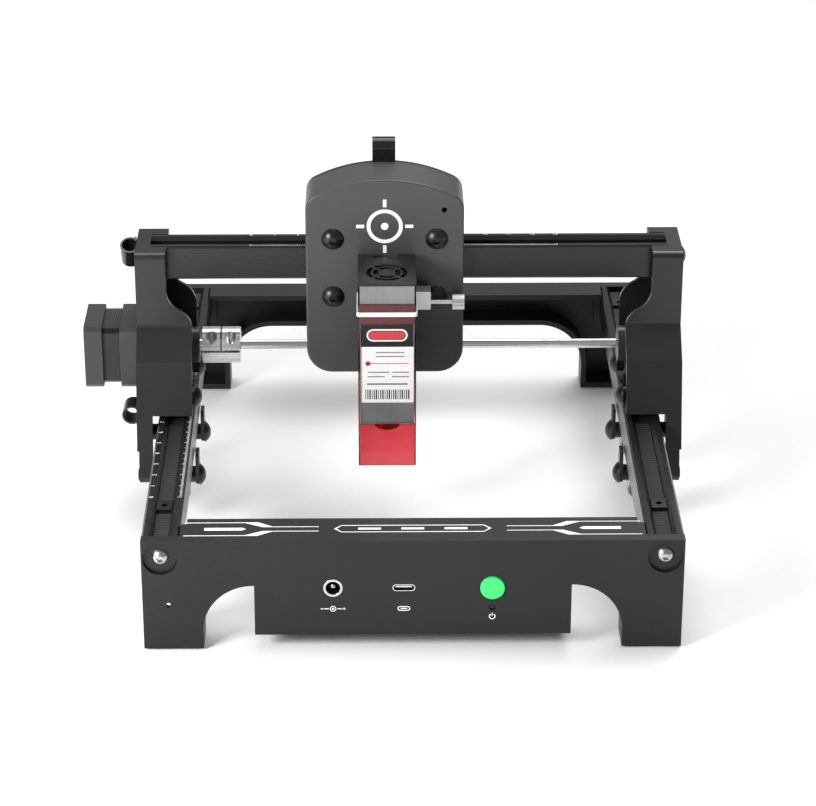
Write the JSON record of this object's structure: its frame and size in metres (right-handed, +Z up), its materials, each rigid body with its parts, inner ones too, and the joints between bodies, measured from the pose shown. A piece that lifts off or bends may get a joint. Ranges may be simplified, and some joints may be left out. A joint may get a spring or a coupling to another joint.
{
  "type": "desktop laser cutter",
  "caption": "Small open-frame laser cutter: slotted rails between end panels, a belt-driven gantry, a sliding carriage and a laser module with a red shield.",
  "frame": {"origin": "on the table, under the middle of the whole machine", "axes": "+X to the right seen from the front panel, +Y from the front panel to the back, +Z up"},
  "size_m": [0.2568, 0.2614, 0.1567],
  "materials": {
    "panel_black": "satin",
    "bracket_black": "satin",
    "hood_grey": "satin",
    "anodised_black": "satin",
    "steel_bright": "satin",
    "bolt_black": "satin",
    "heat_sink": "satin",
    "aluminium_plain": "satin",
    "black_plastic": "matte",
    "gloss_black": "gloss",
    "wheel_black": "matte",
    "belt_rubber": "matte",
    "pad_rubber": "matte",
    "silicone_white": "matte",
    "button_green": "satin",
    "board_green": "satin",
    "acrylic_red": "gloss"
  },
  "bodies": {
    "base": {"front_panel": "panel_black", "electronics_cover": "panel_black", "rear_panel": "panel_black", "rail_left": "anodised_black", "rail_right": "anodised_black", "rail_end_screws": "steel_bright", "foot_pads": "pad_rubber", "control_board": "board_green", "dc_jack": "gloss_black", "usb_port": "steel_bright", "y_belts": "belt_rubber", "y_belt_clamps": "steel_bright"},
    "power_button": {"power_button": "button_green"},
    "gantry": {"side_bracket_left": "bracket_black", "side_bracket_right": "bracket_black", "beam": "anodised_black", "beam_end_screws": "bolt_black", "y_motor": "bracket_black", "shaft_bearing": "steel_bright", "y_wheel_bolts": "bolt_black", "y_wheel_spacers": "bolt_black", "y_wheel_lugs": "bolt_black", "y_belt_loops": "belt_rubber", "x_belt": "belt_rubber", "side_cable_clips": "gloss_black"},
    "drive_line": {"motor_shaft": "steel_bright", "cross_shaft": "steel_bright", "shaft_coupling": "aluminium_plain", "y_pulleys": "bolt_black"},
    "carriage": {"carriage_housing": "hood_grey", "carriage_back_plate": "bracket_black", "x_wheel_bolts": "bolt_black", "x_wheel_spacers": "bolt_black", "x_wheel_nuts": "bolt_black", "x_motor": "bracket_black", "x_belt_loop": "belt_rubber", "focus_rail": "anodised_black", "carriage_cable_clip": "gloss_black"},
    "carriage_drive": {"x_pulley": "steel_bright"},
    "laser_head": {"module_slider": "anodised_black", "module_body": "heat_sink", "fan_cover": "black_plastic", "laser_nozzle": "aluminium_plain", "clamp_block": "aluminium_plain"},
    "fan_rotor": {"fan_rotor": "black_plastic"},
    "thumb_screw": {"thumb_screw": "steel_bright"},
    "laser_shield": {"acrylic_shield": "acrylic_red", "shield_band": "silicone_white"},
    "y_left_wheel_upper_front": {"y_wheel_left_upper_front": "wheel_black"},
    "y_left_wheel_upper_rear": {"y_wheel_left_upper_rear": "wheel_black"},
    "y_left_wheel_lower_front": {"y_wheel_left_lower_front": "wheel_black"},
    "y_left_wheel_lower_rear": {"y_wheel_left_lower_rear": "wheel_black"},
    "y_right_wheel_upper_front": {"y_wheel_right_upper_front": "wheel_black"},
    "y_right_wheel_upper_rear": {"y_wheel_right_upper_rear": "wheel_black"},
    "y_right_wheel_lower_front": {"y_wheel_right_lower_front": "wheel_black"},
    "y_right_wheel_lower_rear": {"y_wheel_right_lower_rear": "wheel_black"},
    "x_wheel_left_upper": {"x_wheel_left_upper": "wheel_black"},
    "x_wheel_left_lower": {"x_wheel_left_lower": "wheel_black"},
    "x_wheel_right_upper": {"x_wheel_right_upper": "wheel_black"},
    "x_wheel_right_lower": {"x_wheel_right_lower": "wheel_black"}
  },
  "joints": [
    {"name": "button_press", "type": "slide", "parent": "base", "child": "power_button", "axis": [0, 1, 0], "range_m": [0, 0.0012], "stiffness_N_per_m": 400},
    {"name": "gantry_slide", "type": "slide", "parent": "base", "child": "gantry", "axis": [0, 1, 0], "range_m": [-0.0705, 0.0595]},
    {"name": "drive_spin", "type": "hinge", "parent": "gantry", "child": "drive_line", "pos_m": [0.01018, 0.0143, 0.0685], "axis": [1, 0, 0], "continuous": true},
    {"name": "carriage_slide", "type": "slide", "parent": "gantry", "child": "carriage", "axis": [1, 0, 0], "range_m": [-0.053, 0.0722]},
    {"name": "carriage_drive_spin", "type": "hinge", "parent": "carriage", "child": "carriage_drive", "pos_m": [-0.00008, 0.0165, 0.084], "axis": [0, 1, 0], "continuous": true},
    {"name": "focus_slide", "type": "slide", "parent": "carriage", "child": "laser_head", "axis": [0, 0, 1], "range_m": [-0.02, 0.01]},
    {"name": "fan_spin", "type": "hinge", "parent": "laser_head", "child": "fan_rotor", "pos_m": [0.00068, -0.0195, 0.1107], "axis": [0, 0, 1], "continuous": true},
    {"name": "thumb_screw_turn", "type": "hinge", "parent": "laser_head", "child": "thumb_screw", "pos_m": [0.02018, -0.0019, 0.0951], "axis": [1, 0, 0], "continuous": true},
    {"name": "shield_slide", "type": "slide", "parent": "laser_head", "child": "laser_shield", "axis": [0, 0, 1], "range_m": [-0.01, 0.008]},
    {"name": "y_left_wheel_upper_front_roll", "type": "hinge", "parent": "gantry", "child": "y_left_wheel_upper_front", "pos_m": [-0.08882, -0.0067, 0.0539], "axis": [1, 0, 0], "continuous": true},
    {"name": "y_left_wheel_upper_rear_roll", "type": "hinge", "parent": "gantry", "child": "y_left_wheel_upper_rear", "pos_m": [-0.08882, 0.0257, 0.0539], "axis": [1, 0, 0], "continuous": true},
    {"name": "y_left_wheel_lower_front_roll", "type": "hinge", "parent": "gantry", "child": "y_left_wheel_lower_front", "pos_m": [-0.08882, -0.0202, 0.0233], "axis": [1, 0, 0], "continuous": true},
    {"name": "y_left_wheel_lower_rear_roll", "type": "hinge", "parent": "gantry", "child": "y_left_wheel_lower_rear", "pos_m": [-0.08882, 0.0219, 0.0233], "axis": [1, 0, 0], "continuous": true},
    {"name": "y_right_wheel_upper_front_roll", "type": "hinge", "parent": "gantry", "child": "y_right_wheel_upper_front", "pos_m": [0.10918, -0.0067, 0.0539], "axis": [1, 0, 0], "continuous": true},
    {"name": "y_right_wheel_upper_rear_roll", "type": "hinge", "parent": "gantry", "child": "y_right_wheel_upper_rear", "pos_m": [0.10918, 0.0257, 0.0539], "axis": [1, 0, 0], "continuous": true},
    {"name": "y_right_wheel_lower_front_roll", "type": "hinge", "parent": "gantry", "child": "y_right_wheel_lower_front", "pos_m": [0.10918, -0.0202, 0.0233], "axis": [1, 0, 0], "continuous": true},
    {"name": "y_right_wheel_lower_rear_roll", "type": "hinge", "parent": "gantry", "child": "y_right_wheel_lower_rear", "pos_m": [0.10918, 0.0219, 0.0233], "axis": [1, 0, 0], "continuous": true},
    {"name": "x_wheel_left_upper_roll", "type": "hinge", "parent": "carriage", "child": "x_wheel_left_upper", "pos_m": [-0.02198, 0.0165, 0.1217], "axis": [0, 1, 0], "continuous": true},
    {"name": "x_wheel_left_lower_roll", "type": "hinge", "parent": "carriage", "child": "x_wheel_left_lower", "pos_m": [-0.02198, 0.0165, 0.0955], "axis": [0, 1, 0], "continuous": true},
    {"name": "x_wheel_right_upper_roll", "type": "hinge", "parent": "carriage", "child": "x_wheel_right_upper", "pos_m": [0.02182, 0.0165, 0.1217], "axis": [0, 1, 0], "continuous": true},
    {"name": "x_wheel_right_lower_roll", "type": "hinge", "parent": "carriage", "child": "x_wheel_right_lower", "pos_m": [0.02182, 0.0165, 0.0955], "axis": [0, 1, 0], "continuous": true}
  ],
  "couplings": [
    {"joint": "drive_spin", "follows": "gantry_slide", "rad_per_m": 142.86},
    {"joint": "y_left_wheel_upper_front_roll", "follows": "gantry_slide", "rad_per_m": -157.48},
    {"joint": "y_left_wheel_upper_rear_roll", "follows": "gantry_slide", "rad_per_m": -157.48},
    {"joint": "y_left_wheel_lower_front_roll", "follows": "gantry_slide", "rad_per_m": 93.023},
    {"joint": "y_left_wheel_lower_rear_roll", "follows": "gantry_slide", "rad_per_m": 93.023},
    {"joint": "y_right_wheel_upper_front_roll", "follows": "gantry_slide", "rad_per_m": -157.48},
    {"joint": "y_right_wheel_upper_rear_roll", "follows": "gantry_slide", "rad_per_m": -157.48},
    {"joint": "y_right_wheel_lower_front_roll", "follows": "gantry_slide", "rad_per_m": 93.023},
    {"joint": "y_right_wheel_lower_rear_roll", "follows": "gantry_slide", "rad_per_m": 93.023},
    {"joint": "x_wheel_left_upper_roll", "follows": "carriage_slide", "rad_per_m": 157.48},
    {"joint": "x_wheel_left_lower_roll", "follows": "carriage_slide", "rad_per_m": -157.48},
    {"joint": "x_wheel_right_upper_roll", "follows": "carriage_slide", "rad_per_m": 157.48},
    {"joint": "x_wheel_right_lower_roll", "follows": "carriage_slide", "rad_per_m": -157.48},
    {"joint": "carriage_drive_spin", "follows": "carriage_slide", "rad_per_m": 142.86}
  ]
}
